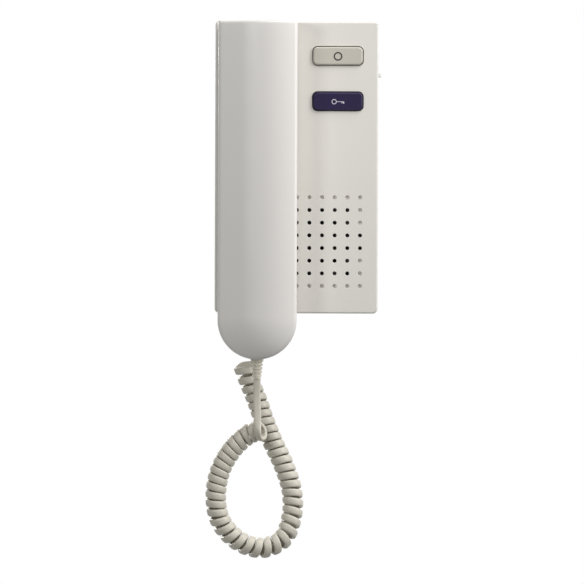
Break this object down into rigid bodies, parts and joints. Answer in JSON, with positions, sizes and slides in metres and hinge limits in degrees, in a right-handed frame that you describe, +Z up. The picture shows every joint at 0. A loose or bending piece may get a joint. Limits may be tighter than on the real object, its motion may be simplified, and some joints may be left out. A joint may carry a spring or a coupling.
{
  "type": "wall intercom handset",
  "caption": "Wall door phone: a flat housing with push keys, a perforated loudspeaker field and a hook switch, and a lift-off handset on a curly cord.",
  "frame": {"origin": "middle of the wall plate's back face, which lies on the wall", "axes": "+Z up, +X to the viewer's right, +Y into the wall"},
  "size_m": [0.1049, 0.0498, 0.3222],
  "materials": {
    "case": "fine moulded grain, warm light grey",
    "handset": "smooth satin, warm light grey",
    "key_grey": "satin with a dark printed ring",
    "key_violet": "satin blue-violet with a white printed key",
    "dark_plastic": "matt",
    "board": "solder lacquer",
    "terminal": "matt",
    "steel": "zinc plated",
    "magnet": "plain",
    "paper": "pressed paper",
    "dark_rubber": "matt",
    "cord": "satin jacket"
  },
  "bodies": {
    "base": {"wall_plate": "case", "front_cover": "case", "volume_switch": "dark_plastic", "circuit_board": "board", "board_screws": "steel", "key_switches": "dark_plastic", "terminal_block": "terminal", "terminal_screws": "steel", "speaker_gasket": "dark_rubber", "speaker_basket": "dark_plastic", "speaker_cone": "paper", "speaker_magnet": "magnet", "hook_pin": "steel", "hook_switch": "dark_plastic", "cover_screw": "steel", "cord_grommet": "cord", "curly_cord": "cord"},
    "handset": {"handset_front_shell": "handset", "handset_back_shell": "handset", "handset_screws": "steel", "handset_boot": "cord", "earpiece_capsule": "dark_plastic", "earpiece_ring": "dark_rubber", "microphone_capsule": "steel", "microphone_boot": "dark_rubber"},
    "light_key": {"light_button": "key_grey"},
    "door_key": {"door_button": "key_violet"},
    "lever": {"hook_lever": "case"},
    "volume": {"volume_slider": "case"}
  },
  "joints": [
    {"name": "handset_lift", "type": "slide", "parent": "base", "child": "handset", "axis": [0, -0.9781, 0.2079], "range_m": [0, 0.08]},
    {"name": "hook_lever_swing", "type": "hinge", "parent": "base", "child": "lever", "pos_m": [-0.0233, -0.01119, 0.02803], "axis": [1, 0, 0], "range_deg": [0, 12]},
    {"name": "light_button_press", "type": "slide", "parent": "base", "child": "light_key", "axis": [0, 1, 0], "range_m": [0, 0.0012], "stiffness_N_per_m": 600},
    {"name": "door_button_press", "type": "slide", "parent": "base", "child": "door_key", "axis": [0, 1, 0], "range_m": [0, 0.0012], "stiffness_N_per_m": 600},
    {"name": "volume_slide", "type": "slide", "parent": "base", "child": "volume", "axis": [0, 0, 1], "range_m": [-0.0025, 0.0025]}
  ],
  "couplings": [
    {"joint": "hook_lever_swing", "follows": "handset_lift", "rad_per_m": 2.617}
  ]
}
